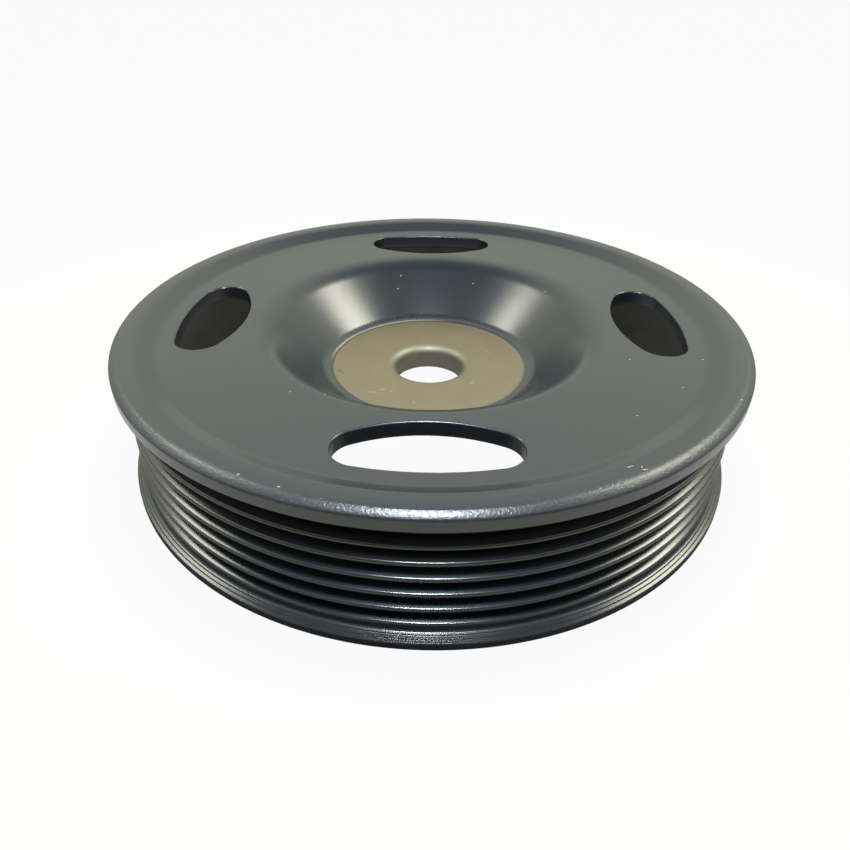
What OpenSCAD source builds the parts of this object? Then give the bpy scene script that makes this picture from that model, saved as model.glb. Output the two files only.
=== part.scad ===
// Ribbed belt pulley pressed and roll-formed from one sheet of steel.
// Millimetres. The pulley stands on its lower lip: its axis is Z, and z = 0 is the lip's underside.

/* [Ribbed rim] */
// Diameter over the rib crests
rib_d = 135.6; // [128:0.1:150]
// Number of belt grooves
groove_count = 6; // [3:1:8]
// Distance from one rib to the next
rib_pitch = 3.56; // [3.4:0.01:3.8]
// Angle between the two flanks of a groove
groove_angle = 40; // [36:1:42]
// Depth of a groove below the rib crests
groove_depth = 2.7; // [2:0.05:2.9]
// Width of the flat on a rib crest
crest_land = 0.9; // [0.6:0.05:1]
// Radius of the two edges of a rib crest
crest_round = 0.35; // [0.1:0.05:0.4]
// Radius in the two corners of a groove root
root_round = 0.3; // [0.05:0.05:0.3]
// Wall left between a groove root and the inside of the rim
rim_wall = 2; // [1.2:0.1:3.5]

/* [Flanges] */
// How far the upper flange and the lower lip stand out past the rib crests
flange_rise = 1.9; // [1.4:0.1:5]
// Height of the upper flange's outer edge
flange_edge_h = 3.1; // [2.4:0.1:5]
// Radius of the upper flange's top edge
flange_round = 1.3; // [0.5:0.1:1.5]
// Radius of the upper flange's lower edge
flange_low_round = 0.4; // [0.1:0.1:0.6]
// Slope of the upper flange's underside, which leads the belt into the first groove
lead_in_angle = 47.5; // [30:0.5:50]
// Radius between the lead-in and the first groove
lead_in_round = 0.5; // [0.1:0.1:1]

/* [Lower lip] */
// Height of the plain land between the last groove and the lip's flare
last_land = 1.57; // [0.9:0.01:4]
// Slope of the flare where it leaves the land
flare_angle = 48; // [35:1:60]
// Radius in the corner of land and flare
flare_foot_round = 0.3; // [0.1:0.05:0.5]
// Radius of the bend between the flare and the lip's upper face
flare_bend = 2.5; // [0.5:0.1:3]
// Width of the lip's upper face
lip_face_w = 0.84; // [0.8:0.01:1.1]
// Slope of the lip's upper face
lip_angle = 22; // [5:1:30]
// Thickness of the lip at its outer edge
lip_t = 1.8; // [1.2:0.1:3]
// Radius of the lip's upper edge
lip_top_round = 0.3; // [0.1:0.05:0.35]
// Radius of the lip's bottom edge
lip_low_round = 0.65; // [0.1:0.05:0.7]
// Radius of the rim's inner edge, which flares out into the lip
inner_flare_round = 3; // [1:0.1:4]

/* [Crown] */
// Height of the raised crown above the web
crown_h = 2.2; // [1:0.1:4]
// Width of the crown's face, from its top to the outer edge
crown_face_w = 4.4; // [3:0.1:6]
// Fall of the crown's face towards the outer edge
crown_fall_angle = 5; // [0:1:10]
// Width of the slope from the web up to the crown
crown_slope_w = 4.7; // [3:0.1:8]
// Radius between the web and the slope
slope_foot_round = 4; // [0.5:0.1:6]
// Radius between the slope and the crown's face
slope_top_round = 5; // [0.5:0.1:6]

/* [Web and dish] */
// Thickness of the sheet
sheet_t = 3.2; // [2:0.1:4]
// Radius inside the corner of web and rim
inner_round = 3; // [1:0.1:5]
// Depth of the dish from the web to the hub
dish_depth = 11.8; // [8:0.1:14]
// Diameter of the dish where web and cone would meet
dish_d = 76; // [68:0.1:80]
// Radius of the bend between web and cone
dish_round = 9.7; // [5:0.1:11]
// Diameter of the hub where cone and hub would meet
hub_d = 49.6; // [40:0.1:52]
// Radius of the bend between cone and hub
hub_round = 1.6; // [0.5:0.1:3]

/* [Bore] */
// Diameter of the bore
bore_d = 16; // [10:0.1:24]
// Radius where the sheet is drawn into the bore
bore_round = 2; // [0.5:0.1:3]
// How far the bore's collar stands below the hub's underside
collar_h = 2.6; // [1.3:0.1:8]
// Thickness of the collar's wall
collar_t = 2.2; // [1.5:0.1:3]
// Radius between the collar and the hub's underside
collar_round = 0.8; // [0.2:0.1:1]
// Radius of the collar's two lower edges
collar_edge_round = 0.3; // [0.1:0.1:0.6]

/* [Windows] */
// Number of windows in the web
window_count = 4; // [2:1:6]
// Web left between a window and the crown's slope
window_margin = 3.6; // [2:0.1:6]
// Width of a window along the radius
window_w = 14.4; // [11:0.1:15]
// Radius of a window's inner edge, which bows towards the hub
window_bow = 31.2; // [28:0.1:38]
// Radius of a window's two ends
window_end_round = 5.2; // [3:0.1:5.5]
// Size of the broken edge round a window's top
window_edge = 0.35; // [0.1:0.05:0.8]

/* [Hidden] */

// One step of a rounded corner, in degrees
arc_step = 9;
round_fn = 120;

// Radii, from the outside in
crest_r = rib_d / 2;
flange_r = crest_r + flange_rise;
lip_face_r = flange_r - lip_face_w;
root_r = crest_r - groove_depth;
rim_inner_r = root_r - rim_wall;
crown_r = flange_r - crown_face_w;
slope_r = crown_r - crown_slope_w;
dish_r = dish_d / 2;
hub_r = hub_d / 2;
bore_r = bore_d / 2;
collar_r = bore_r + collar_t;

// Heights, from the ground up
flank_rise = groove_depth * tan(groove_angle / 2);
lip_face_z = lip_t + lip_face_w * tan(lip_angle);
flare_top_z = lip_face_z + (lip_face_r - crest_r) * tan(flare_angle);
last_crest_z = flare_top_z + last_land;
first_crest_z = last_crest_z + (groove_count - 1) * rib_pitch;
first_groove_z = first_crest_z + rib_pitch - crest_land;
flange_low_z = first_groove_z + flange_rise * tan(lead_in_angle);
flange_top_z = flange_low_z + flange_edge_h;
crown_z = flange_top_z + crown_face_w * tan(crown_fall_angle);
web_z = crown_z - crown_h;
web_under_z = web_z - sheet_t;
hub_z = web_z - dish_depth;
hub_under_z = hub_z - sheet_t;
collar_z = hub_under_z - collar_h;

// The cone's slope, and how far the sheet's thickness shifts its two bends
cone_angle = atan(dish_depth / (dish_r - hub_r));
bend_shift = sheet_t * tan(cone_angle / 2);

// Windows: an outer arc about the axis, an inner arc that bows to the hub, and a circle at each end
window_out_r = slope_r - window_margin;
window_in_r = window_out_r - window_w;
bow_x = window_in_r + window_bow;
end_out_r = window_out_r - window_end_round;
end_in_r = window_bow - window_end_round;
end_x = (end_out_r ^ 2 - end_in_r ^ 2 + bow_x ^ 2) / (2 * bow_x);
end_y = sqrt(end_out_r ^ 2 - end_x ^ 2);

// How far a window's cutter stands past each face of the sheet
cut_past = 1;
// How far a window's end circle laps over its two arcs, which then cross it cleanly
end_lap = 0.01;

function unit(v) = v / norm(v);

// Points of the arc that rounds corner b, which lies between a and c
function arc(a, b, c, r) =
    let (
        to_a = unit(a - b),
        to_c = unit(c - b),
        half = acos(to_a * to_c) / 2,
        mid = b + unit(to_a + to_c) * r / sin(half),
        start = b + to_a * r / tan(half) - mid,
        from = atan2(start.y, start.x),
        turn = (180 - 2 * half) * (cross(to_a, to_c) < 0 ? 1 : -1),
        steps = ceil(abs(turn) / arc_step)
    )
    [for (i = [0:steps]) mid + r * [cos(from + turn * i / steps), sin(from + turn * i / steps)]];

function flat(p) = [p[0], p[1]];

// Outline through corners [x, y, radius], each rounded by its radius
function rounded(corners) =
    let (n = len(corners))
    [
        for (i = [0:n - 1])
            each arc(flat(corners[(i + n - 1) % n]), flat(corners[i]), flat(corners[(i + 1) % n]), corners[i][2])
    ];

// Corners of the sheet's upper side, from the bore's foot out to the flange's lower edge
upper_side = [
    [bore_r, collar_z, collar_edge_round],
    [bore_r, hub_z, bore_round],
    [hub_r, hub_z, hub_round],
    [dish_r, web_z, dish_round],
    [slope_r, web_z, slope_foot_round],
    [crown_r, crown_z, slope_top_round],
    [flange_r, flange_top_z, flange_round],
    [flange_r, flange_low_z, flange_low_round]
];

// Corners of the grooves from the top down: each has its upper edge, its root and its lower edge
grooves = [
    for (i = [0:groove_count - 1])
        let (top = first_groove_z - i * rib_pitch)
        let (low = first_crest_z - i * rib_pitch)
        each [
            [crest_r, top, i == 0 ? lead_in_round : crest_round],
            [root_r, top - flank_rise, root_round],
            [root_r, low + flank_rise, root_round],
            [crest_r, low, crest_round]
        ]
];

// Corners of the flare and the lower lip, round to the inside of the rim
lip = [
    [crest_r, flare_top_z, flare_foot_round],
    [lip_face_r, lip_face_z, flare_bend],
    [flange_r, lip_t, lip_top_round],
    [flange_r, 0, lip_low_round],
    [rim_inner_r, 0, inner_flare_round]
];

// Corners of the sheet's underside, from the rim in to the collar
under_side = [
    [rim_inner_r, web_under_z, inner_round],
    [dish_r + bend_shift, web_under_z, dish_round - sheet_t],
    [hub_r + bend_shift, hub_under_z, hub_round + sheet_t],
    [collar_r, hub_under_z, collar_round],
    [collar_r, collar_z, collar_edge_round]
];

module sheet_profile() {
    polygon(rounded(concat(upper_side, grooves, lip, under_side)));
}

// Sector between the two end circles, which trims the points off the window's lens
module window_sector() {
    reach = window_w;
    out_angle = atan2(end_y, end_x);
    in_angle = atan2(end_y, end_x - bow_x);
    out_corner = [end_x + reach * cos(out_angle), end_y + reach * sin(out_angle)];
    in_corner = [end_x + reach * cos(in_angle), end_y + reach * sin(in_angle)];
    polygon([
        [end_x, end_y],
        out_corner,
        [out_corner.x, -out_corner.y],
        [end_x, -end_y],
        [in_corner.x, -in_corner.y],
        in_corner
    ]);
}

// A window's cutter of height h, which widens by grow from its foot to its top
module window_cutter(h, grow) {
    lapped_r = window_end_round + end_lap;
    intersection() {
        cylinder(h = h, r1 = window_out_r, r2 = window_out_r + grow, $fn = round_fn);
        translate([bow_x, 0, 0])
            cylinder(h = h, r1 = window_bow, r2 = window_bow + grow, $fn = round_fn);
        linear_extrude(height = h)
            window_sector();
    }
    for (side = [-1, 1])
        translate([end_x, side * end_y, 0])
            cylinder(h = h, r1 = lapped_r, r2 = lapped_r + grow, $fn = round_fn);
}

// Punched window with a broken top edge
module window() {
    translate([0, 0, web_under_z - cut_past])
        window_cutter(sheet_t + 2 * cut_past, 0);
    translate([0, 0, web_z - window_edge])
        window_cutter(2 * window_edge, 2 * window_edge);
}

module pulley() {
    color([0.30, 0.33, 0.33])
        difference() {
            rotate_extrude($fn = 2 * round_fn)
                sheet_profile();
            for (i = [0:window_count - 1])
                rotate([0, 0, i * 360 / window_count])
                    window();
        }
}

pulley();
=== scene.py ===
"""Belt pulley pressed and roll-formed from one sheet of steel, painted dark, with a bare seat on its hub."""

import math
from contextlib import contextmanager
from types import SimpleNamespace

import bmesh
import bpy
from mathutils import Matrix, Vector


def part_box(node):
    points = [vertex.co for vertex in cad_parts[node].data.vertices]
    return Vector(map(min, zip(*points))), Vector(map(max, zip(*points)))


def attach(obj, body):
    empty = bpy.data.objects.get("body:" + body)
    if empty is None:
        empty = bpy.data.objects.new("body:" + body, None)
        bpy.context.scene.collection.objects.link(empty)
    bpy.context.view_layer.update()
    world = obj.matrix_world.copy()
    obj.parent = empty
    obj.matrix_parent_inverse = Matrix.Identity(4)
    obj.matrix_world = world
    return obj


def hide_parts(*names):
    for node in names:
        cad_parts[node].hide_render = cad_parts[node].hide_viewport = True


bl_info = {
    "name": "Pressed steel belt pulley",
    "version": (1, 0, 0),
    "blender": (4, 5, 0),
    "location": "View3D > Sidebar > Pulley",
    "description": "Models a ribbed belt pulley with its paint, its bare hub seat and a studio round it",
    "category": "Object",
}

MM = 0.001
# Points nearer than this are one point
SAME_PLACE = 0.001 * MM
# Largest turn from one vertex of an arc to the next, in the sheet's section and round a window
SECTION_STEP = math.radians(12)
WINDOW_STEP = math.radians(4)
# Steps of the sheet round the bore's axis, and of the rounding along a window's edge
SHEET_STEPS = 256
EDGE_STEPS = 6
# Shares of an edge's rounding: how much wider the punch gets past a face, and how far past it that is
OVERCUT = 0.04
OVERCUT_START = 0.01

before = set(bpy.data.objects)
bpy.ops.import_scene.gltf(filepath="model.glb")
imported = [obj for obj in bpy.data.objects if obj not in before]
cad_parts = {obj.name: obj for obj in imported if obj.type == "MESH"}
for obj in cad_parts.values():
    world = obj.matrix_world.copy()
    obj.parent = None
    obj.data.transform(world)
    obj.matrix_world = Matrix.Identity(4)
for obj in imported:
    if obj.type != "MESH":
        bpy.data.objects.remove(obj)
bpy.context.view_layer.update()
CAD_NODE = "pulley"
# The visible sheet's outer radius, kept just inside the CAD model's
FLANGE_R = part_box(CAD_NODE)[1][0] - 0.001 * MM


def length(value, name, about):
    """A length whose default is given in millimetres."""
    return bpy.props.FloatProperty(
        name=name, description=about, default=value * MM, unit="LENGTH", precision=5
    )


def angle(value, name, about):
    """An angle whose default is given in degrees."""
    return bpy.props.FloatProperty(
        name=name, description=about, default=math.radians(value), subtype="ANGLE"
    )


def colour(value, name, about):
    """A colour in linear light."""
    return bpy.props.FloatVectorProperty(
        name=name, description=about, default=value, subtype="COLOR", size=3
    )


def share(value, name, about):
    """A number from 0 to 1."""
    return bpy.props.FloatProperty(
        name=name, description=about, default=value, min=0, max=1, subtype="FACTOR"
    )


def count(value, name, about):
    """A whole number."""
    return bpy.props.IntProperty(name=name, description=about, default=value)


class PulleyRim(bpy.types.PropertyGroup):
    """Sizes of the grooves, the upper flange and the lower lip."""

    groove_count: count(6, "Grooves", "Number of belt grooves")
    rib_pitch: length(3.56, "Rib pitch", "Distance from one rib to the next")
    groove_angle: angle(40, "Groove angle", "Angle between the two flanks of a groove")
    groove_depth: length(2.7, "Groove depth", "Depth of a groove below the rib crests")
    crest_land: length(0.75, "Crest land", "Width of the flat on a rib crest")
    crest_round: length(0.5, "Crest rounding", "Radius of the two edges of a rib crest")
    root_round: length(0.3, "Root rounding", "Radius in the two corners of a groove root")
    rim_wall: length(2.0, "Rim wall", "Wall between a groove root and the inside of the rim")
    flange_rise: length(1.9, "Flange rise", "How far flange and lip stand out past the rib crests")
    flange_edge_h: length(3.25, "Flange edge", "Height of the upper flange's outer edge")
    turn_down_w: length(0.9, "Turn-down", "Width of the crown's band that first turns down to the edge")
    turn_down_angle: angle(20, "Turn-down slope", "Fall of that band")
    turn_down_bend: length(2.8, "Turn-down bend", "Radius of the bend above that band")
    edge_band_w: length(0.8, "Edge band", "Width of the steeper band outside it")
    edge_band_angle: angle(43, "Edge band slope", "Fall of the steeper band")
    edge_band_bend: length(2.8, "Edge band bend", "Radius of the bend above the steeper band")
    flange_round: length(0.7, "Flange rounding", "Radius of the upper flange's outer edge")
    flange_low_round: length(0.4, "Flange low rounding", "Radius of the upper flange's lower edge")
    lead_in_angle: angle(47.5, "Lead-in", "Slope of the upper flange's underside")
    lead_in_round: length(0.5, "Lead-in rounding", "Radius between the lead-in and the first groove")
    last_land: length(1.6866, "Last land", "Height of the land between the last groove and the flare")
    flare_foot_round: length(0.45, "Flare foot", "Radius in the corner of land and flare")
    flare_h: length(1.1, "Flare height", "Height of the flare above the lip's edge")
    terrace_count: count(3, "Terraces", "Fine steps turned into the flare")
    terrace_share: share(0.8, "Terrace share", "How much of each step is terrace, along the radius")
    terrace_angle: angle(14.5, "Terrace slope", "Slope of a terrace")
    terrace_round: length(0.18, "Terrace rounding", "Radius of the first step; the next are sharper")
    lip_t: length(1.8, "Lip thickness", "Thickness of the lip at its outer edge")
    lip_top_round: length(0.3, "Lip top rounding", "Radius of the lip's upper edge")
    lip_low_round: length(0.65, "Lip low rounding", "Radius of the lip's bottom edge")
    inner_flare_round: length(3.0, "Inner flare", "Radius of the rim's inner edge")


class PulleyWeb(bpy.types.PropertyGroup):
    """Sizes of the crown, the web, the dish, the bore and the windows."""

    crown_h: length(2.2, "Crown height", "Height of the raised crown above the web")
    crown_face_w: length(4.4, "Crown face", "Width of the crown's face")
    crown_fall: angle(5, "Crown fall", "Fall of the crown's face towards the outer edge")
    crown_slope_w: length(4.7, "Crown slope", "Width of the slope from the web up to the crown")
    slope_foot_round: length(4.0, "Slope foot", "Radius between the web and the slope")
    slope_top_round: length(5.0, "Slope top", "Radius between the slope and the crown's face")
    sheet_t: length(3.2, "Sheet", "Thickness of the sheet")
    inner_round: length(3.0, "Inner corner", "Radius inside the corner of web and rim")
    dish_depth: length(11.8, "Dish depth", "Depth of the dish from the web to the hub")
    dish_d: length(76.0, "Dish diameter", "Diameter where web and cone would meet")
    dish_round: length(9.7, "Dish bend", "Radius of the bend between web and cone")
    hub_d: length(49.6, "Hub diameter", "Diameter where cone and hub would meet")
    hub_round: length(3.4, "Hub bend", "Radius of the bend between cone and hub")
    bore_d: length(16.0, "Bore", "Diameter of the bore")
    bore_round: length(2.0, "Bore rounding", "Radius where the sheet is drawn into the bore")
    collar_h: length(2.6, "Collar height", "How far the collar stands below the hub's underside")
    collar_t: length(2.2, "Collar wall", "Thickness of the collar's wall")
    collar_round: length(0.8, "Collar rounding", "Radius between the collar and the hub's underside")
    collar_edge_round: length(0.3, "Collar edge", "Radius of the collar's two lower edges")
    window_count: count(4, "Windows", "Number of windows in the web")
    window_margin: length(3.6, "Window margin", "Web between a window and the crown's slope")
    window_w: length(14.4, "Window width", "Width of a window along the radius")
    window_bow: length(31.2, "Window bow", "Radius of a window's inner edge")
    window_end_round: length(5.2, "Window ends", "Radius of a window's two ends")
    window_top_edge: length(0.4, "Window top edge", "Rounding of a window's top edge")
    window_low_edge: length(0.15, "Window low edge", "Rounding of a window's lower edge")


class PulleyFinish(bpy.types.PropertyGroup):
    """Colours and grain of the paint and of the bare steel."""

    paint: colour((0.009, 0.012, 0.018), "Paint", "Colour of the dark paint")
    paint_cloud: share(0.15, "Paint clouds", "How much the paint's colour varies in soft clouds")
    paint_rough: share(0.25, "Paint roughness", "Roughness of the paint")
    cloud_rough: share(0.06, "Cloud roughness", "How much the paint's roughness varies in soft clouds")
    mark_rough: share(0.3, "Mark roughness", "How much rougher dust and worn spots are")
    edge_rough: share(0.08, "Edge roughness", "How much rougher the paint is on the flange's edge")
    flare_rough: share(0.045, "Flare roughness", "How much rougher the flare is than the ribs")
    rib_gloss: share(0.05, "Rib gloss", "How much smoother the paint is on the ribs")
    paint_ior: bpy.props.FloatProperty(
        name="Paint IOR", description="Index of refraction of the paint", default=1.65
    )
    paint_t: length(0.04, "Paint thickness", "How far the paint stands above the bare steel")
    peel: length(0.045, "Peel", "Depth of the fine grain")
    face_peel: share(0.6, "Face peel", "How much of the grain's depth the paint has")
    edge_peel: share(0.9, "Edge peel", "How much deeper the paint's grain is on the flange's edge")
    steel_peel: share(0.3, "Steel peel", "How much of the grain's depth the bare steel has")
    turned: length(0.001, "Turned lines", "Depth of the fine lines left by the tool round the ribs")
    # Painted shade: deep in a groove the paint's colour is darkened to this share of itself
    painted_groove_shade: share(0.15, "Groove light", "How much of the paint's colour is left deep in a groove")
    chip_cover: share(0.5, "Chip cover", "How strongly the chips on the flange's edge show")
    rub_cover: share(0.14, "Rub cover", "How strongly the rubbed foot of the cone shows")
    primer: colour((0.022, 0.018, 0.008), "Primer", "Colour of the thin coat inside the rim")
    dust: colour((0.24, 0.25, 0.23), "Dust", "Colour of specks and worn spots on the paint")
    steel: colour((0.282, 0.239, 0.168), "Bare steel", "Colour of the bare hub seat")
    steel_cloud: share(0.1, "Steel clouds", "How much the steel's colour varies in soft clouds")
    steel_rough: share(0.45, "Steel roughness", "Roughness of the bare steel")
    tone_rough: share(0.12, "Steel variation", "How much the steel's roughness varies in soft clouds")
    bore_steel: colour((0.25, 0.24, 0.19), "Bore", "Colour of the steel in the bore and on its rounding")
    bore_rough: share(0.12, "Bore roughness", "How much rougher the steel is in the bore")
    scratch: colour((0.62, 0.60, 0.52), "Scratch", "Colour of fresh scratches in the bare steel")
    scratch_cover: share(0.6, "Scratch cover", "How strongly the scratches show")
    rust: colour((0.06, 0.02, 0.012), "Rust", "Colour of small rust spots")
    seat_d: length(45.0, "Seat diameter", "Diameter of the ring left bare on the hub")
    seat_shift: length(-0.4, "Seat shift", "How far the bare ring lies off the bore's axis")
    overspray: length(1.0, "Overspray", "How far the paint fades out at the right of the seat")
    mask_edge: length(0.12, "Mask edge", "How far the paint fades out where the mask lay tight")
    line_gap: length(0.8, "Worn line", "How far outside the seat the worn line runs")
    line_bare: share(0.6, "Line bareness", "How much of the paint is gone on the worn line")
    # Painted highlight: how strongly the worn line takes the scratches' light colour
    line_painted_highlight: share(0.7, "Line brightness", "How strongly the worn line shines")


class PulleyCamera(bpy.types.PropertyGroup):
    """The camera, as the photograph's view of the pulley gives it."""

    place: bpy.props.FloatVectorProperty(
        name="Place",
        description="Where the camera stands",
        default=(0.0, -0.143294, 0.097377),
        subtype="TRANSLATION",
        unit="LENGTH",
        precision=5,
    )
    pitch: angle(math.degrees(0.575), "Pitch", "How far the camera looks down")
    yaw: angle(math.degrees(0.025), "Yaw", "How far the camera turns to the left")
    roll: angle(math.degrees(0.002), "Roll", "How far the camera tilts")
    focal: bpy.props.FloatProperty(
        name="Focal length", description="In widths of the photograph", default=0.79794
    )
    shift: bpy.props.FloatVectorProperty(
        name="Shift",
        description="Of the lens, in widths of the photograph",
        default=(0.0130, -0.0231),
        size=2,
    )


def pick(obj):
    """Makes obj the only selected object, and the active one."""
    bpy.ops.object.select_all(action="DESELECT")
    obj.select_set(True)
    bpy.context.view_layer.objects.active = obj


@contextmanager
def editing(obj):
    """Edit mode on obj, with its mesh as a BMesh."""
    pick(obj)
    bpy.ops.object.mode_set(mode="EDIT")
    yield bmesh.from_edit_mesh(obj.data)
    bpy.ops.object.mode_set(mode="OBJECT")


def corner_arcs(corners):
    """The arc (start, centre, turn) that rounds each corner (point, radius) of an outline."""
    arcs = []
    for i, (corner, radius) in enumerate(corners):
        to_before = (corners[i - 1][0] - corner).normalized()
        to_after = (corners[(i + 1) % len(corners)][0] - corner).normalized()
        half = to_before.angle(to_after) / 2
        centre = corner + (to_before + to_after).normalized() * radius / math.sin(half)
        start = corner + to_before * radius / math.tan(half)
        side = 1 if to_before.cross(to_after) < 0 else -1
        arcs.append((start, centre, (math.pi - 2 * half) * side))
    return arcs


def draw_outline(name, arcs, lift, step):
    """Draws a closed outline from one vertex, extruded to each arc's start and spun round its centre.

    An arc is (start, centre, turn) in the outline's plane, and lift turns a point of that plane into
    space. A step is the largest turn from one vertex of an arc to the next."""
    origin = lift(Vector((0, 0)))
    axis = (lift(Vector((0, 1))) - origin).cross(lift(Vector((1, 0))) - origin)
    bpy.ops.object.select_all(action="DESELECT")
    bpy.ops.mesh.primitive_plane_add(size=MM)
    drawn = bpy.context.object
    drawn.name = name
    with editing(drawn) as mesh:
        bpy.ops.mesh.select_all(action="SELECT")
        bpy.ops.mesh.merge(type="CENTER")
        bpy.ops.transform.translate(value=lift(arcs[0][0]))
        at = arcs[0][0]
        for start, centre, turn in arcs:
            if (start - at).length > SAME_PLACE:
                bpy.ops.mesh.extrude_vertices_move(
                    TRANSFORM_OT_translate={"value": lift(start) - lift(at)}
                )
            steps = max(2, math.ceil(abs(turn) / step))
            bpy.ops.mesh.spin(steps=steps, angle=turn, center=lift(centre), axis=axis)
            at = centre + Matrix.Rotation(turn, 2) @ (start - centre)
        bpy.ops.mesh.select_all(action="SELECT")
        bpy.ops.mesh.remove_doubles(threshold=SAME_PLACE)
        bpy.ops.mesh.select_all(action="DESELECT")
        for vertex in mesh.verts:
            vertex.select = len(vertex.link_edges) == 1
        mesh.select_flush_mode()
        if any(vertex.select for vertex in mesh.verts):
            bpy.ops.mesh.edge_face_add()
    return drawn


def flare_corners(rim, crest_r, foot_z):
    """Corners of the flare from its foot to the lip's edge: terraces, each with a steep step below it."""
    foot = Vector((crest_r, foot_z))
    step = (Vector((FLANGE_R, rim.lip_t)) - foot) / rim.terrace_count
    terrace = Vector((1, -math.tan(rim.terrace_angle))) * step.x * rim.terrace_share
    corners = []
    for i in range(rim.terrace_count):
        corners.append((foot + step * i, rim.flare_foot_round if i == 0 else rim.terrace_round / i))
        corners.append((foot + step * i + terrace, rim.terrace_round / (i + 1)))
    return corners


def bend_shift(web):
    """How far the sheet's thickness shifts the dish's two bends outwards on its underside."""
    cone = math.atan(2 * web.dish_depth / (web.dish_d - web.hub_d))
    return web.sheet_t * math.tan(cone / 2)


def levels(rim, web):
    """Heights of the section's corners, from the ground up."""
    at = SimpleNamespace(flare_foot=rim.lip_t + rim.flare_h)
    at.last_crest = at.flare_foot + rim.last_land
    at.first_crest = at.last_crest + (rim.groove_count - 1) * rim.rib_pitch
    at.first_groove = at.first_crest + rim.rib_pitch - rim.crest_land
    at.flange_low = at.first_groove + rim.flange_rise * math.tan(rim.lead_in_angle)
    at.flange_top = at.flange_low + rim.flange_edge_h
    at.crown = at.flange_top + web.crown_face_w * math.tan(web.crown_fall)
    at.band_top = at.flange_top + (rim.turn_down_w + rim.edge_band_w) * math.tan(web.crown_fall)
    at.band_mid = at.band_top - rim.turn_down_w * math.tan(rim.turn_down_angle)
    at.band_low = at.band_mid - rim.edge_band_w * math.tan(rim.edge_band_angle)
    at.web = at.crown - web.crown_h
    at.web_low = at.web - web.sheet_t
    at.hub = at.web - web.dish_depth
    at.hub_low = at.hub - web.sheet_t
    at.collar = at.hub_low - web.collar_h
    return at


def sheet_section(rim, web):
    """Corners of the sheet's section: from the bore over the crown, down the ribs and back below."""
    at = levels(rim, web)
    crest_r = FLANGE_R - rim.flange_rise
    root_r = crest_r - rim.groove_depth
    inner_r = root_r - rim.rim_wall
    crown_r = FLANGE_R - web.crown_face_w
    slope_r = crown_r - web.crown_slope_w
    dish_r, hub_r, bore_r = web.dish_d / 2, web.hub_d / 2, web.bore_d / 2
    collar_r = bore_r + web.collar_t
    flank = rim.groove_depth * math.tan(rim.groove_angle / 2)
    shift = bend_shift(web)

    corners = [
        (bore_r, at.collar, web.collar_edge_round),
        (bore_r, at.hub, web.bore_round),
        (hub_r, at.hub, web.hub_round),
        (dish_r, at.web, web.dish_round),
        (slope_r, at.web, web.slope_foot_round),
        (crown_r, at.crown, web.slope_top_round),
        (FLANGE_R - rim.turn_down_w - rim.edge_band_w, at.band_top, rim.turn_down_bend),
        (FLANGE_R - rim.edge_band_w, at.band_mid, rim.edge_band_bend),
        (FLANGE_R, at.band_low, rim.flange_round),
        (FLANGE_R, at.flange_low, rim.flange_low_round),
    ]
    for i in range(rim.groove_count):
        top = at.first_groove - i * rim.rib_pitch
        low = at.first_crest - i * rim.rib_pitch
        corners += [
            (crest_r, top, rim.lead_in_round if i == 0 else rim.crest_round),
            (root_r, top - flank, rim.root_round),
            (root_r, low + flank, rim.root_round),
            (crest_r, low, rim.crest_round),
        ]
    lip_and_back = [
        (FLANGE_R, rim.lip_t, rim.lip_top_round),
        (FLANGE_R, 0.0, rim.lip_low_round),
        (inner_r, 0.0, rim.inner_flare_round),
        (inner_r, at.web_low, web.inner_round),
        (dish_r + shift, at.web_low, web.dish_round - web.sheet_t),
        (hub_r + shift, at.hub_low, web.hub_round + web.sheet_t),
        (collar_r, at.hub_low, web.collar_round),
        (collar_r, at.collar, web.collar_edge_round),
    ]
    above = [(Vector((r, z)), radius) for r, z, radius in corners]
    below = [(Vector((r, z)), radius) for r, z, radius in lip_and_back]
    return above + flare_corners(rim, crest_r, at.flare_foot) + below


def window_arcs(web, grow):
    """The four arcs of a window's outline, moved outwards by grow."""
    out_r = FLANGE_R - web.crown_face_w - web.crown_slope_w - web.window_margin
    bow_x = out_r - web.window_w + web.window_bow
    end_out, end_in = out_r - web.window_end_round, web.window_bow - web.window_end_round
    end_x = (end_out**2 - end_in**2 + bow_x**2) / (2 * bow_x)
    end_y = math.sqrt(end_out**2 - end_x**2)
    out_angle = math.atan2(end_y, end_x)
    in_angle = math.atan2(end_y, end_x - bow_x)
    arcs, at = [], -out_angle
    for centre, radius, turn in (
        ((0, 0), out_r, 2 * out_angle),
        ((end_x, end_y), web.window_end_round, in_angle - out_angle),
        ((bow_x, 0), web.window_bow, 2 * (math.pi - in_angle)),
        ((end_x, -end_y), web.window_end_round, in_angle - out_angle),
    ):
        spoke = Vector((math.cos(at), math.sin(at))) * (radius + grow)
        arcs.append((Vector(centre) + spoke, Vector(centre), turn))
        at += turn
    return arcs


def punch_profile(rim, web):
    """Heights of the punch from below the sheet to above it, each with how far the window widens there."""
    at = levels(rim, web)
    quarter = math.pi / 2
    turns = [quarter * i / EDGE_STEPS for i in range(EDGE_STEPS)]
    profile = []
    faces = ((at.web_low, web.window_low_edge, -1), (at.web, web.window_top_edge, 1))
    for face, radius, side in faces:
        ring = [(face - side * radius * (1 - math.sin(t)), radius * (1 - math.cos(t))) for t in turns]
        widest = (1 + OVERCUT) * radius
        ring += [(face + side * OVERCUT_START * radius, widest), (face + side * MM, widest)]
        profile += ring[::side]
    return profile


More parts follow.
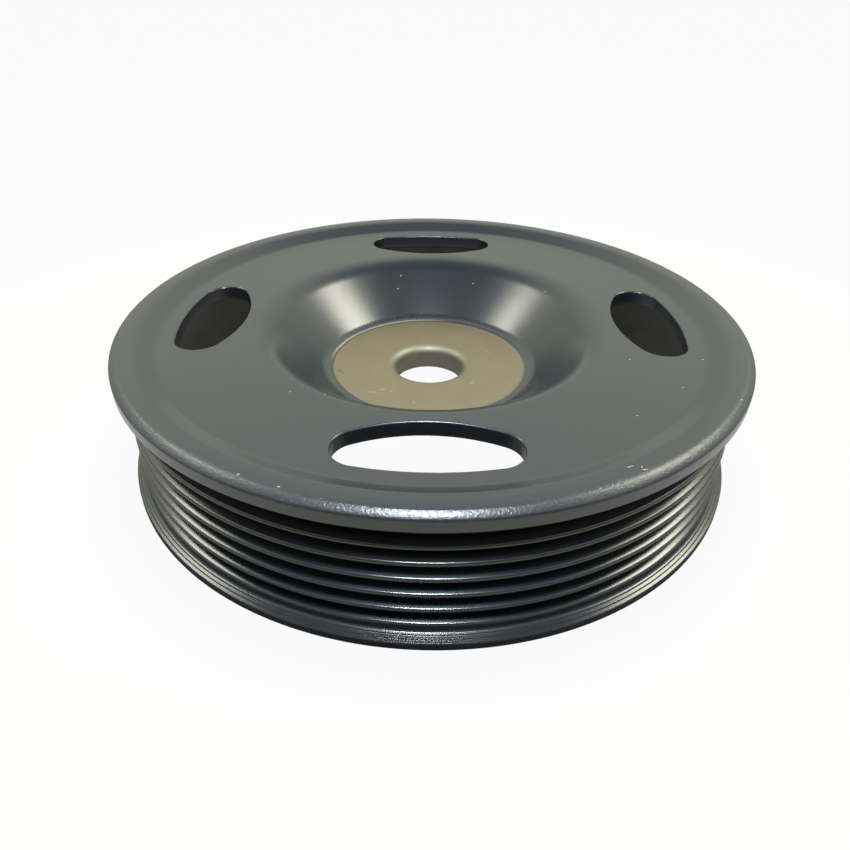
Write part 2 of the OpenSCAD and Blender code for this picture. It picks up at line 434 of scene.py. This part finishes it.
class PULLEY_OT_sheet(bpy.types.Operator):
    """Draw the section of the sheet and spin it round the bore's axis"""

    bl_idname = "pulley.sheet"
    bl_label = "Spin the sheet"

    def execute(self, context):
        section = sheet_section(context.scene.pulley_rim, context.scene.pulley_web)
        arcs = corner_arcs(section)
        shell = draw_outline("pulley_shell", arcs, lambda p: Vector((p.x, 0, p.y)), SECTION_STEP)
        with editing(shell):
            bpy.ops.mesh.select_all(action="SELECT")
            bpy.ops.mesh.spin(steps=SHEET_STEPS, angle=2 * math.pi, center=(0, 0, 0), axis=(0, 0, 1))
            bpy.ops.mesh.select_all(action="SELECT")
            bpy.ops.mesh.remove_doubles(threshold=SAME_PLACE)
            bpy.ops.mesh.normals_make_consistent(inside=False)
        pick(shell)
        bpy.ops.object.transform_apply(location=True, rotation=True, scale=True)
        return {"FINISHED"}


class PULLEY_OT_windows(bpy.types.Operator):
    """Punch the windows through the web, with their edges broken"""

    bl_idname = "pulley.windows"
    bl_label = "Punch the windows"

    def execute(self, context):
        web = context.scene.pulley_web
        rings = []
        for z, grow in punch_profile(context.scene.pulley_rim, web):
            arcs = window_arcs(web, grow)
            rings.append(
                draw_outline("window_punch", arcs, lambda p, z=z: Vector((p.x, p.y, z)), WINDOW_STEP)
            )
        bpy.ops.object.select_all(action="DESELECT")
        for ring in rings:
            ring.select_set(True)
        bpy.context.view_layer.objects.active = rings[0]
        bpy.ops.object.join()
        punch = bpy.context.object
        with editing(punch):
            bpy.ops.mesh.select_mode(type="EDGE")
            bpy.ops.mesh.select_all(action="SELECT")
            bpy.ops.mesh.bridge_edge_loops()
            bpy.ops.mesh.select_all(action="SELECT")
            bpy.ops.mesh.fill_holes(sides=0)
            bpy.ops.mesh.select_all(action="SELECT")
            bpy.ops.mesh.normals_make_consistent(inside=False)
            for _ in range(web.window_count - 1):
                bpy.ops.mesh.duplicate()
                bpy.ops.transform.rotate(
                    value=2 * math.pi / web.window_count, orient_axis="Z", center_override=(0, 0, 0)
                )
            bpy.ops.mesh.select_mode(type="VERT")
        shell = bpy.data.objects["pulley_shell"]
        pick(shell)
        bpy.ops.object.modifier_add(type="BOOLEAN")
        cut = shell.modifiers[-1]
        cut.operation = "DIFFERENCE"
        cut.solver = "EXACT"
        cut.object = punch
        bpy.ops.object.modifier_apply(modifier=cut.name)
        pick(punch)
        bpy.ops.object.delete()
        return {"FINISHED"}


class PULLEY_OT_dress(bpy.types.Operator):
    """Smooth the sheet, give it its paint and its bare steel, and let it stand for the CAD model"""

    bl_idname = "pulley.dress"
    bl_label = "Paint the pulley"

    def execute(self, context):
        shell = bpy.data.objects["pulley_shell"]
        pick(shell)
        bpy.ops.object.shade_smooth()
        bpy.ops.object.modifier_add(type="WEIGHTED_NORMAL")
        bpy.ops.object.modifier_apply(modifier=shell.modifiers[-1].name)
        shell.data.materials.clear()
        scene = context.scene
        shell.data.materials.append(steel_and_paint(scene.pulley_rim, scene.pulley_web, scene.pulley_finish))
        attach(shell, "root")
        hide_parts(CAD_NODE)
        return {"FINISHED"}


class Signal:
    """The output of a node, on which Python's operators add Math nodes."""

    def __init__(self, shader, socket):
        self.shader = shader
        self.socket = socket

    def math(self, operation, *others, clamp=False):
        values = dict(enumerate((self, *others)))
        return self.shader.node("ShaderNodeMath", {"operation": operation, "use_clamp": clamp}, values)[0]

    def __add__(self, other):
        return self.math("ADD", other)

    __radd__ = __add__

    def __sub__(self, other):
        return self.math("SUBTRACT", other)

    def __rsub__(self, other):
        return (self * -1.0) + other

    def __mul__(self, other):
        return self.math("MULTIPLY", other)

    __rmul__ = __mul__

    def __truediv__(self, other):
        return self.math("DIVIDE", other)

    def __rtruediv__(self, other):
        return self.math("POWER", -1.0) * other

    def rising(self, low, high):
        """0 below low and 1 above high, with a smooth step between."""
        settings = {"interpolation_type": "SMOOTHSTEP"}
        sockets = {"Value": self, "From Min": low, "From Max": high}
        return self.shader.node("ShaderNodeMapRange", settings, sockets)["Result"]

    def past(self, limit, soft):
        """0 up to the limit and 1 from soft beyond it, with a smooth step between."""
        return self.rising(limit, limit + soft)


class Shader:
    """A node tree that is filled node by node."""

    def __init__(self, tree):
        self.tree = tree
        tree.nodes.clear()

    def node(self, kind, settings=None, sockets=None):
        """Adds a node, sets it up, fills its sockets with values or signals, and returns its outputs."""
        made = self.tree.nodes.new(kind)
        for name, value in (settings or {}).items():
            setattr(made, name, value)
        for name, value in (sockets or {}).items():
            if isinstance(value, Signal):
                self.tree.links.new(value.socket, made.inputs[name])
            else:
                made.inputs[name].default_value = value
        outputs = {out.name: Signal(self, out) for out in made.outputs if out.enabled}
        return {**outputs, **dict(enumerate(outputs.values()))}

    def blend(self, factor, below, above):
        """Colour below where factor is 0, and above where it is 1."""
        sockets = {0: factor, 6: below, 7: above}
        return self.node("ShaderNodeMix", {"data_type": "RGBA"}, sockets)["Result"]

    def noise(self, at, size, detail=2.0, roughness=0.5):
        """Noise whose grains measure size, from 0 to 1."""
        sockets = {"Vector": at, "Scale": 1 / size, "Detail": detail, "Roughness": roughness}
        return self.node("ShaderNodeTexNoise", {"noise_dimensions": "3D"}, sockets)[0]

    def patches(self, at, grain, grain_limits, patch, patch_limits):
        """1 on fine grains that gather in larger patches, and 0 between them."""
        grains = self.noise(at, grain, detail=3.0).rising(*grain_limits)
        return grains * self.noise(at, patch).rising(*patch_limits)

    def specks(self, at, spacing, radius):
        """1 inside dots of about that radius, one to each cell of that spacing, and 0 outside them."""
        sockets = {"Vector": at, "Scale": 1 / spacing, "Randomness": 1.0}
        away = self.node("ShaderNodeTexVoronoi", {"feature": "F1"}, sockets)["Distance"]
        return 1 - away.rising(0.6 * radius / spacing, radius / spacing)

    def marks(self, at, places):
        """1 inside flat oval marks (x, y, z, half length, half width, turn), in mm and degrees."""
        found = None
        for x, y, z, long, wide, turn in places:
            sockets = {
                "Vector": at,
                "Location": (x * MM, y * MM, z * MM),
                "Rotation": (0, 0, math.radians(turn)),
                "Scale": (long * MM, wide * MM, MARK_REACH),
            }
            inside = self.node("ShaderNodeMapping", {"vector_type": "TEXTURE"}, sockets)["Vector"]
            away = self.node("ShaderNodeVectorMath", {"operation": "LENGTH"}, {0: inside})["Value"]
            mark = 1 - away.rising(0.5, 1.0)
            found = mark if found is None else found.math("MAXIMUM", mark)
        return found


# Dust, chips and scuffs on the paint
PAINT_MARKS = (
    (-26.6, -33.2, 28.7, 0.22, 0.14, 0),
    (-19.9, -33.3, 28.2, 0.26, 0.14, 30),
    (41.8, -18.5, 28.7, 0.24, 0.18, 0),
    (57.0, -18.1, 28.7, 0.30, 0.16, -40),
    (49.5, -29.5, 28.7, 0.22, 0.15, 0),
    (38.1, -39.6, 28.7, 0.22, 0.15, 20),
    (57.6, -36.6, 30.6, 0.25, 0.18, 0),
    (-8.1, 33.4, 25.5, 0.26, 0.20, 0),
    (-8.8, 30.3, 23.0, 0.24, 0.20, 0),
    (11.8, 31.0, 24.4, 0.24, 0.20, 0),
    (-29.5, -61.0, 30.7, 0.30, 0.20, 0),
    (-22.6, -63.8, 30.7, 0.28, 0.16, 0),
    (32.2, -57.4, 30.8, 0.80, 0.11, 25),
    (34.4, -58.0, 30.7, 0.70, 0.11, 10),
    (8.6, -67.5, 3.3, 0.24, 0.20, 0),
)
# Fine scratches in the bare seat
SEAT_MARKS = (
    (-10.5, -12.8, 16.9, 1.30, 0.14, 12),
    (-12.6, -13.9, 16.9, 1.60, 0.12, -8),
    (-8.4, -13.3, 16.9, 0.60, 0.12, 30),
    (10.0, -9.2, 16.9, 1.00, 0.12, 55),
    (14.6, 5.8, 16.9, 0.70, 0.14, -30),
    (-3.2, -17.9, 16.9, 0.60, 0.14, 70),
    (8.7, 20.9, 16.9, 0.45, 0.30, 60),
)
# Rust spots on the bare seat
RUST_MARKS = (
    (-21.0, -4.5, 16.9, 0.40, 0.25, 20),
    (-20.3, -5.6, 16.9, 0.30, 0.20, 0),
)
# How far a mark reaches above and below its middle
MARK_REACH = 0.5 * MM
# Sizes of the clouds in each coat, of the fine grain and of the turned lines
PAINT_CLOUD_W = 18 * MM
PRIMER_CLOUD_W = 7 * MM
STEEL_CLOUD_W = 6 * MM
GRAIN_W = 0.45 * MM
TURNED_LINE_W = 0.3 * MM
# Specks of dust: the space that holds one speck, and its radius
DUST_SPACING = 11 * MM
DUST_R = 0.16 * MM
# Waves of the bare seat's ragged edge: their length and depth
RAGGED_W = 1.5 * MM
RAGGED_DEPTH = 0.25 * MM
# Where the middle of the worn line lies, seen from the axis: at the back left, where the light falls, so the
# line's lighter colour there is partly a painted highlight
LINE_SIDE = (-0.6, 0.8)


def solid(rgb, light=1.0):
    """An opaque colour, with its light scaled."""
    return (*(value * light for value in rgb), 1.0)


def clouded(shader, cloud, rgb, much):
    """A colour that gets darker and lighter by much in soft clouds."""
    return shader.blend(cloud, solid(rgb, 1 - much), solid(rgb, 1 + much))


def rim_masks(shader, rim, web):
    """Coordinates on the pulley, and masks that are 1 on the part that each one names."""
    level = levels(rim, web)
    crest_r = FLANGE_R - rim.flange_rise
    inner_r = crest_r - rim.groove_depth - rim.rim_wall
    on = SimpleNamespace(level=level, at=shader.node("ShaderNodeTexCoord")["Object"])
    split = shader.node("ShaderNodeSeparateXYZ", None, {"Vector": on.at})
    on.x, on.y, on.z = split["X"], split["Y"], split["Z"]
    on.radius = (on.x * on.x + on.y * on.y).math("SQRT")

    def flange_edge(reach, depth, soft):
        """The flange within reach of its outer edge and within depth of the crown's top."""
        return on.radius.past(FLANGE_R - reach, soft) * on.z.past(level.crown - depth, soft)

    on.flange_edge = flange_edge(reach=2.6 * MM, depth=2.4 * MM, soft=1.0 * MM)
    on.worn_edge = flange_edge(reach=2.4 * MM, depth=2.0 * MM, soft=1.2 * MM)
    on.ribs = on.radius.past(inner_r + MM, 0.5 * MM) * (1 - on.z.past(level.flange_low, MM))
    on.flare = on.ribs * (1 - on.z.past(level.flare_foot + 0.2 * MM, 0.3 * MM))
    # Where painted shade darkens the paint, deep in the grooves
    on.deep_groove = on.ribs * (1 - on.radius.past(crest_r - 1.7 * MM, MM))
    on.bore = 1 - on.radius.past(web.bore_d / 2 + 0.8 * MM, 1.4 * MM)

    sockets = {
        "Value": on.radius,
        "From Min": web.hub_d / 2 + bend_shift(web),
        "From Max": web.dish_d / 2 + bend_shift(web),
        "To Min": level.hub_low,
        "To Max": level.web_low,
    }
    underside = shader.node("ShaderNodeMapRange", None, sockets)["Result"]
    above_underside = (on.z - underside).past(0.4 * MM, 0.3 * MM)
    on.inside = (1 - on.radius.past(inner_r + 0.1 * MM, 0.3 * MM)) * (1 - above_underside)
    return on


def seat_masks(shader, on, finish):
    """The painted part round the bare seat, and the line worn at the seat's back left, bared of paint and
    given a painted highlight.
    """
    seat_r = finish.seat_d / 2
    off = on.x - finish.seat_shift
    ragged = (shader.noise(on.at, RAGGED_W) - 0.5) * RAGGED_DEPTH
    from_seat = (off * off + on.y * on.y).math("SQRT") + ragged
    fade = on.x.rising(0.0, seat_r) * finish.overspray + finish.mask_edge
    painted = ((from_seat - (seat_r - finish.mask_edge / 2)) / fade).rising(0.0, 1.0)
    from_line = (from_seat - (seat_r + finish.line_gap)).math("ABSOLUTE")
    # The worn line is bare and lighter only at the back left, where the light falls: partly real wear,
    # partly a painted highlight
    lit_back_left = (on.x * LINE_SIDE[0] + on.y * LINE_SIDE[1]).past(13 * MM, 8 * MM)
    line = (1 - from_line.past(0.1 * MM, 0.5 * MM)) * lit_back_left
    return painted * (1 - line * finish.line_bare), line * finish.line_painted_highlight


def paint_marks(shader, on, finish):
    """Dust, chips, the worn edge of the flange and the rubbed foot of the cone."""
    dust = shader.specks(on.at, DUST_SPACING, DUST_R)
    dust = dust.math("MAXIMUM", shader.marks(on.at, PAINT_MARKS))
    chips = shader.patches(
        on.at, grain=0.5 * MM, grain_limits=(0.62, 0.72), patch=9 * MM, patch_limits=(0.45, 0.7)
    )
    seat_r = finish.seat_d / 2
    foot = on.radius.past(seat_r + 0.6 * MM, 0.8 * MM)
    foot = foot * (1 - on.radius.past(seat_r + 2.6 * MM, 1.4 * MM))
    foot = foot * on.z.past(on.level.hub - MM, MM)
    rubbed = shader.patches(
        on.at, grain=0.45 * MM, grain_limits=(0.52, 0.70), patch=14 * MM, patch_limits=(0.40, 0.60)
    )
    worn = chips * on.worn_edge * finish.chip_cover
    bared = worn.math("MAXIMUM", rubbed * foot * finish.rub_cover)
    return dust.math("MAXIMUM", bared, clamp=True)


def paint_colour(shader, on, finish, cloud, marks):
    """Dark paint, a thin coat inside the rim, painted shade deep in the grooves, and dust on top."""
    paint = clouded(shader, cloud, finish.paint, finish.paint_cloud)
    thin = on.inside * shader.noise(on.at, PRIMER_CLOUD_W, detail=3.0).rising(0.2, 0.6)
    paint = shader.blend(thin, paint, solid(finish.primer))
    # Painted shade deep in the grooves
    paint = shader.blend(on.deep_groove, paint, solid(finish.paint, finish.painted_groove_shade))
    return shader.blend(marks, paint, solid(finish.dust))


def steel_colour(shader, on, finish, tone, worn_line_painted_highlight):
    """Bare steel, darker in the bore, with scratches, the worn line's painted highlight and small rust
    spots.
    """
    steel = clouded(shader, tone, finish.steel, finish.steel_cloud)
    steel = shader.blend(on.bore, steel, solid(finish.bore_steel))
    scratched = shader.marks(on.at, SEAT_MARKS) * finish.scratch_cover
    # Scratches, and the worn line's painted highlight, in the scratches' light colour
    steel = shader.blend(scratched.math("MAXIMUM", worn_line_painted_highlight), steel, solid(finish.scratch))
    return shader.blend(shader.marks(on.at, RUST_MARKS), steel, solid(finish.rust))


def surface_relief(shader, on, finish, painted):
    """Height of the paint's fine grain, of the turned lines on the ribs and of the paint itself."""
    grain = shader.noise(on.at, GRAIN_W, roughness=0.6)
    on_paint = painted * (1 - on.ribs) * (on.flange_edge * finish.edge_peel + finish.face_peel)
    on_steel = (1 - painted) * finish.steel_peel
    along = shader.node("ShaderNodeCombineXYZ", None, {"X": on.radius, "Y": on.z})[0]
    turned = shader.noise(along, TURNED_LINE_W, roughness=0.6) * (on.ribs - on.flare)
    relief = grain * (on_paint + on_steel) * finish.peel + turned * finish.turned
    return relief + painted * finish.paint_t


def steel_and_paint(rim, web, finish):
    """Dark satin paint, with the hub's seat and the bore left in bare steel."""
    material = bpy.data.materials.new("painted_steel")
    material.use_nodes = True
    shader = Shader(material.node_tree)
    on = rim_masks(shader, rim, web)
    painted, worn_line_painted_highlight = seat_masks(shader, on, finish)
    marks = paint_marks(shader, on, finish)
    cloud = shader.noise(on.at, PAINT_CLOUD_W, detail=3.0)
    tone = shader.noise(on.at, STEEL_CLOUD_W, detail=4.0, roughness=0.6)

    paint = paint_colour(shader, on, finish, cloud, marks)
    steel = steel_colour(shader, on, finish, tone, worn_line_painted_highlight)
    paint_rough = (cloud - 0.5) * finish.cloud_rough + marks * finish.mark_rough
    paint_rough = paint_rough + on.flange_edge * finish.edge_rough + on.flare * finish.flare_rough
    paint_rough = paint_rough - on.ribs * finish.rib_gloss + finish.paint_rough
    steel_rough = (tone - 0.5) * finish.tone_rough + on.bore * finish.bore_rough + finish.steel_rough
    relief = surface_relief(shader, on, finish, painted)
    bump = {"Strength": 1.0, "Distance": 1.0, "Height": relief}
    sockets = {
        "Base Color": shader.blend(painted, steel, paint),
        "Roughness": paint_rough * painted + steel_rough * (1 - painted),
        "Metallic": 1 - painted,
        "IOR": finish.paint_ior,
        "Normal": shader.node("ShaderNodeBump", None, bump)["Normal"],
    }
    surface = shader.node("ShaderNodeBsdfPrincipled", None, sockets)["BSDF"]
    shader.node("ShaderNodeOutputMaterial", None, {"Surface": surface})
    return material


# Brightness of the floor to the camera, which leaves it a trace of the pulley's shadow
FLOOR_WHITE = 0.95
FLOOR_SIZE = 6.0
# Width of the camera's film, in Blender's millimetres
FILM_W = 36
WHITE = (1, 1, 1)
# The paper's matt colour round the pulley, darker further off, and a painted shadow below the lip
PAPER_NEAR = (0.70, 0.70, 0.60)
PAPER_FAR = (0.22, 0.22, 0.19)
PAINTED_SHADOW_BELOW_LIP = (0.15, 0.15, 0.17)
# Painted light: how bright the gloss sees the paper at the far back, below the bore and below the web, where
# 1 is white
FAR_BACK_LIGHT = 0.25
BELOW_BORE_LIGHT = 0.25
BELOW_WEB_LIGHT = 0.22
# The light's tint from the walls, and from overhead
WALL_TINT = (0.96, 1.0, 0.82)
OVERHEAD_TINT = (0.72, 0.90, 1.0)
# Light of the surroundings at the floor, and its change from one height to another, where 1 is overhead
GROUND_LIGHT = 0.7
LIGHT_STEPS = (
    (0.0, 0.05, 0.45),
    (0.12, 0.20, -0.5),
    (0.22, 0.40, 0.5),
    (0.42, 0.62, 0.25),
    (0.75, 0.95, -0.98),
)
# How much of that light is missing in front
FRONT_SHADE = 0.7
# The front lamp makes the narrow streak on the flange, and the others the glow on both sides
LAMPS = {
    "front_lamp": {
        "place": (-0.002, -0.117, 0.20),
        "size": (0.047, 0.032),
        "radiance": 125.0,
        "tint": (0.86, 0.94, 1.0),
        "aim": (-0.002, -0.070, 0),
    },
    "right_lamp": {
        "place": (0.408, 0.114, 0.469),
        "size": (0.235, 0.19),
        "radiance": 15.5,
        "tint": (1.0, 0.98, 0.80),
    },
    "left_lamp": {
        "place": (-0.408, 0.114, 0.469),
        "size": (0.19, 0.15),
        "radiance": 12.5,
        "tint": (1.0, 0.98, 0.84),
    },
}


def studio_paper():
    """The floor's paper: white to the camera, and in the pulley's gloss lit by painted pools of light at its
    sides, at the far back and below the bore and the web.
    """
    paper = bpy.data.materials.new("studio_paper")
    paper.use_nodes = True
    shader = Shader(paper.node_tree)
    path = shader.node("ShaderNodeLightPath")
    place = shader.node("ShaderNodeTexCoord")["Object"]
    toward_back = shader.node("ShaderNodeSeparateXYZ", None, {"Vector": place})["Y"]
    away = shader.node("ShaderNodeVectorMath", {"operation": "LENGTH"}, {0: place})["Value"]

    # Painted light: a pool of white at the sides of the pulley, fading out towards the front as a painted
    # shade
    painted_light_beside = away.past(80 * MM, 11 * MM) * (1 - away.past(110 * MM, 90 * MM))
    painted_light_beside = painted_light_beside * toward_back.past(-120 * MM, 75 * MM)
    painted_light_far_back = away.past(150 * MM, 100 * MM) * toward_back.past(150 * MM, 150 * MM)
    # Painted light below the bore and below the web, where light falls through the bore and the windows
    painted_light_below_bore = 1 - away.past(15 * MM, 20 * MM)
    painted_light_below_web = 1 - away.past(56 * MM, 8 * MM)
    painted_light_in_gloss = painted_light_beside + painted_light_far_back * FAR_BACK_LIGHT
    painted_light_in_gloss = painted_light_in_gloss + painted_light_below_bore * BELOW_BORE_LIGHT + painted_light_below_web * BELOW_WEB_LIGHT
    mirrored = path["Is Glossy Ray"].math("MAXIMUM", path["Is Transmission Ray"])
    white = (path["Is Camera Ray"] * FLOOR_WHITE).math("MAXIMUM", mirrored * painted_light_in_gloss)

    # Painted shadow: the paper is darkened in a ring below the pulley's lip
    painted_shadow_below_lip = away.past(60 * MM, 6 * MM) * (1 - away.past(70 * MM, 16 * MM))
    grey = shader.blend(away.past(100 * MM, 100 * MM), solid(PAPER_NEAR), solid(PAPER_FAR))
    grey = shader.blend(painted_shadow_below_lip, grey, solid(PAINTED_SHADOW_BELOW_LIP))
    matt = shader.node("ShaderNodeBsdfDiffuse", None, {"Color": grey})["BSDF"]
    sockets = {"Color": solid(WHITE), "Strength": 1.0}
    bright = shader.node("ShaderNodeEmission", None, sockets)["Emission"]
    lit = shader.node("ShaderNodeMixShader", None, {0: white, 1: matt, 2: bright})["Shader"]
    shader.node("ShaderNodeOutputMaterial", None, {"Surface": lit})
    return paper


def lay_floor():
    """Lays the floor that the pulley stands on."""
    bpy.ops.object.select_all(action="DESELECT")
    bpy.ops.mesh.primitive_plane_add(size=FLOOR_SIZE, location=(0, 0, 0))
    floor = bpy.context.object
    floor.name = "studio_floor"
    floor.data.materials.append(studio_paper())


def surround(scene):
    """White surroundings that are lit from the sides and the back, and darker in front and overhead."""
    world = bpy.data.worlds.new("studio")
    scene.world = world
    world.use_nodes = True
    shader = Shader(world.node_tree)
    toward = shader.node("ShaderNodeTexCoord")["Generated"]
    split = shader.node("ShaderNodeSeparateXYZ", None, {"Vector": toward})
    up = split["Z"]
    in_front = 1 - split["Y"].rising(-0.8, 0.05)
    around = GROUND_LIGHT
    for low, high, change in LIGHT_STEPS:
        around = around + up.rising(low, high) * change
    around = around * (1 - in_front * FRONT_SHADE)
    to_camera = shader.node("ShaderNodeLightPath")["Is Camera Ray"]
    tint = shader.blend(up.rising(0.72, 0.96), solid(WALL_TINT), solid(OVERHEAD_TINT))
    sockets = {
        "Color": shader.blend(to_camera, tint, solid(WHITE)),
        "Strength": around + (1 - around) * to_camera,
    }
    sky = shader.node("ShaderNodeBackground", None, sockets)["Background"]
    shader.node("ShaderNodeOutputWorld", None, {"Surface": sky})


def hang_lamp(name, place, size, radiance, tint, aim=(0, 0, 0.02)):
    """A soft rectangular lamp at place that shines at aim with an even radiance, where 1 is white."""
    turn = (Vector(aim) - Vector(place)).to_track_quat("-Z", "Y").to_euler()
    bpy.ops.object.light_add(type="AREA", location=place, rotation=turn)
    lamp = bpy.context.object
    lamp.name = name
    lamp.data.shape = "RECTANGLE"
    lamp.data.size, lamp.data.size_y = size
    lamp.data.energy = radiance * math.pi * size[0] * size[1]
    lamp.data.color = tint
    lamp.visible_camera = False


def light_only(lamp, obj):
    """Lets a lamp light obj and nothing else."""
    lit = bpy.data.collections.new(lamp.name + "_lights")
    lit.objects.link(obj)
    lamp.light_linking.receiver_collection = lit


def set_camera(scene):
    """Stands the camera where the photograph was taken from."""
    view = scene.pulley_camera
    ahead = Vector((-math.sin(view.yaw), math.cos(view.yaw), 0)) * math.cos(view.pitch)
    ahead.z = -math.sin(view.pitch)
    level_right = ahead.cross(Vector((0, 0, 1))).normalized()
    level_up = level_right.cross(ahead)
    right = level_right * math.cos(view.roll) + level_up * math.sin(view.roll)
    up = level_up * math.cos(view.roll) - level_right * math.sin(view.roll)
    turn = Matrix((right, up, -ahead)).transposed().to_euler()
    bpy.ops.object.camera_add(location=view.place, rotation=turn)
    camera = bpy.context.object
    camera.name = "photo_camera"
    camera.data.sensor_width = FILM_W
    camera.data.lens = FILM_W * view.focal
    camera.data.shift_x, camera.data.shift_y = view.shift
    camera.data.clip_start = 5 * MM
    scene.camera = camera


class PULLEY_OT_studio(bpy.types.Operator):
    """Set up the floor, the white surroundings, the lamps and the camera"""

    bl_idname = "pulley.studio"
    bl_label = "Set up the studio"

    def execute(self, context):
        lay_floor()
        surround(context.scene)
        for name, setting in LAMPS.items():
            hang_lamp(name, **setting)
        light_only(bpy.data.objects["front_lamp"], bpy.data.objects["pulley_shell"])
        set_camera(context.scene)
        context.scene.view_settings.view_transform = "Standard"
        return {"FINISHED"}


class PULLEY_PT_panel(bpy.types.Panel):
    """The pulley's operators in the sidebar"""

    bl_label = "Belt pulley"
    bl_idname = "PULLEY_PT_panel"
    bl_space_type = "VIEW_3D"
    bl_region_type = "UI"
    bl_category = "Pulley"

    def draw(self, context):
        for operator in OPERATORS:
            self.layout.operator(operator.bl_idname)


OPERATORS = (PULLEY_OT_sheet, PULLEY_OT_windows, PULLEY_OT_dress, PULLEY_OT_studio)
GROUPS = {
    "pulley_rim": PulleyRim,
    "pulley_web": PulleyWeb,
    "pulley_finish": PulleyFinish,
    "pulley_camera": PulleyCamera,
}


def register():
    for made in (*GROUPS.values(), *OPERATORS, PULLEY_PT_panel):
        bpy.utils.register_class(made)
    for name, group in GROUPS.items():
        setattr(bpy.types.Scene, name, bpy.props.PointerProperty(type=group))


def unregister():
    for name in GROUPS:
        delattr(bpy.types.Scene, name)
    for made in (PULLEY_PT_panel, *OPERATORS, *GROUPS.values()):
        bpy.utils.unregister_class(made)


def main():
    register()
    bpy.ops.pulley.sheet()
    bpy.ops.pulley.windows()
    bpy.ops.pulley.dress()
    bpy.ops.pulley.studio()


if __name__ == "__main__":
    main()
